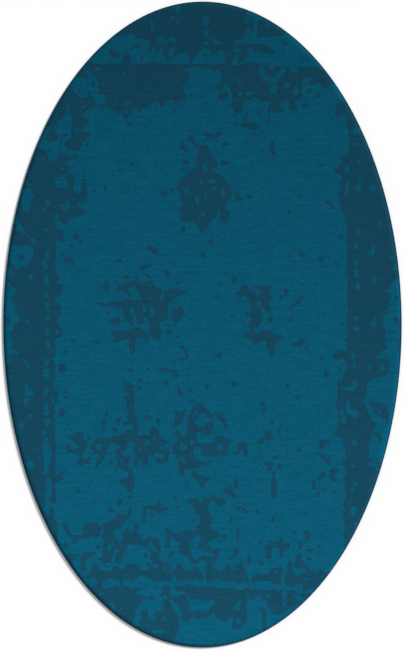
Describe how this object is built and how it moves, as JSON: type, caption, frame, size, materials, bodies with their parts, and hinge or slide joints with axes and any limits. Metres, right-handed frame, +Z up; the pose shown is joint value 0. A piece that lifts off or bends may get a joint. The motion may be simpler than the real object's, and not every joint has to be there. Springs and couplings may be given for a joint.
{
  "type": "oval area rug",
  "caption": "Oval tufted area rug lying flat: short two-tone teal pile with a worn floral border and motifs, serged rim and cloth backing",
  "frame": {"origin": "Middle of the underside of the rug, on the floor", "axes": "+Y along the rug's length, +X across it, +Z up out of the pile"},
  "size_m": [1.504, 2.438, 0.0125],
  "materials": {
    "light_teal_yarn": "cut pile",
    "dark_teal_yarn": "cut pile",
    "edge_yarn": "overcast wool yarn",
    "cotton_cord": "twisted",
    "tufting_cloth": "plain weave",
    "latex": "matte",
    "canvas": "plain weave canvas",
    "twill_tape": "twill weave",
    "thread": "sewing thread",
    "label_cloth": "woven, blank"
  },
  "bodies": {
    "root": {"field_pile": "light_teal_yarn", "hem_pile": "light_teal_yarn", "rim_pile_right": "light_teal_yarn", "border_pile_top": "dark_teal_yarn", "border_pile_left": "dark_teal_yarn", "border_pile_right": "dark_teal_yarn", "border_pile_bottom": "dark_teal_yarn", "border_stripe_bottom": "dark_teal_yarn", "panel_pile_left": "dark_teal_yarn", "panel_pile_right": "dark_teal_yarn", "medallion_pile": "dark_teal_yarn", "spray_pile_left": "dark_teal_yarn", "spray_pile_right": "dark_teal_yarn", "stem_pile": "dark_teal_yarn", "cluster_pile_left": "dark_teal_yarn", "cluster_pile_middle": "dark_teal_yarn", "drop_pile": "dark_teal_yarn", "foot_pile_left": "dark_teal_yarn", "foot_pile_middle": "dark_teal_yarn", "foot_pile_right": "dark_teal_yarn", "arch_pile": "dark_teal_yarn", "bar_pile": "dark_teal_yarn", "serging_yarn": "edge_yarn", "edge_cord": "cotton_cord", "primary_backing": "tufting_cloth", "latex_coat": "latex", "secondary_backing": "canvas", "binding_tape": "twill_tape", "tape_stitch_outer": "thread", "tape_stitch_inner": "thread", "care_label": "label_cloth"}
  },
  "joints": []
}
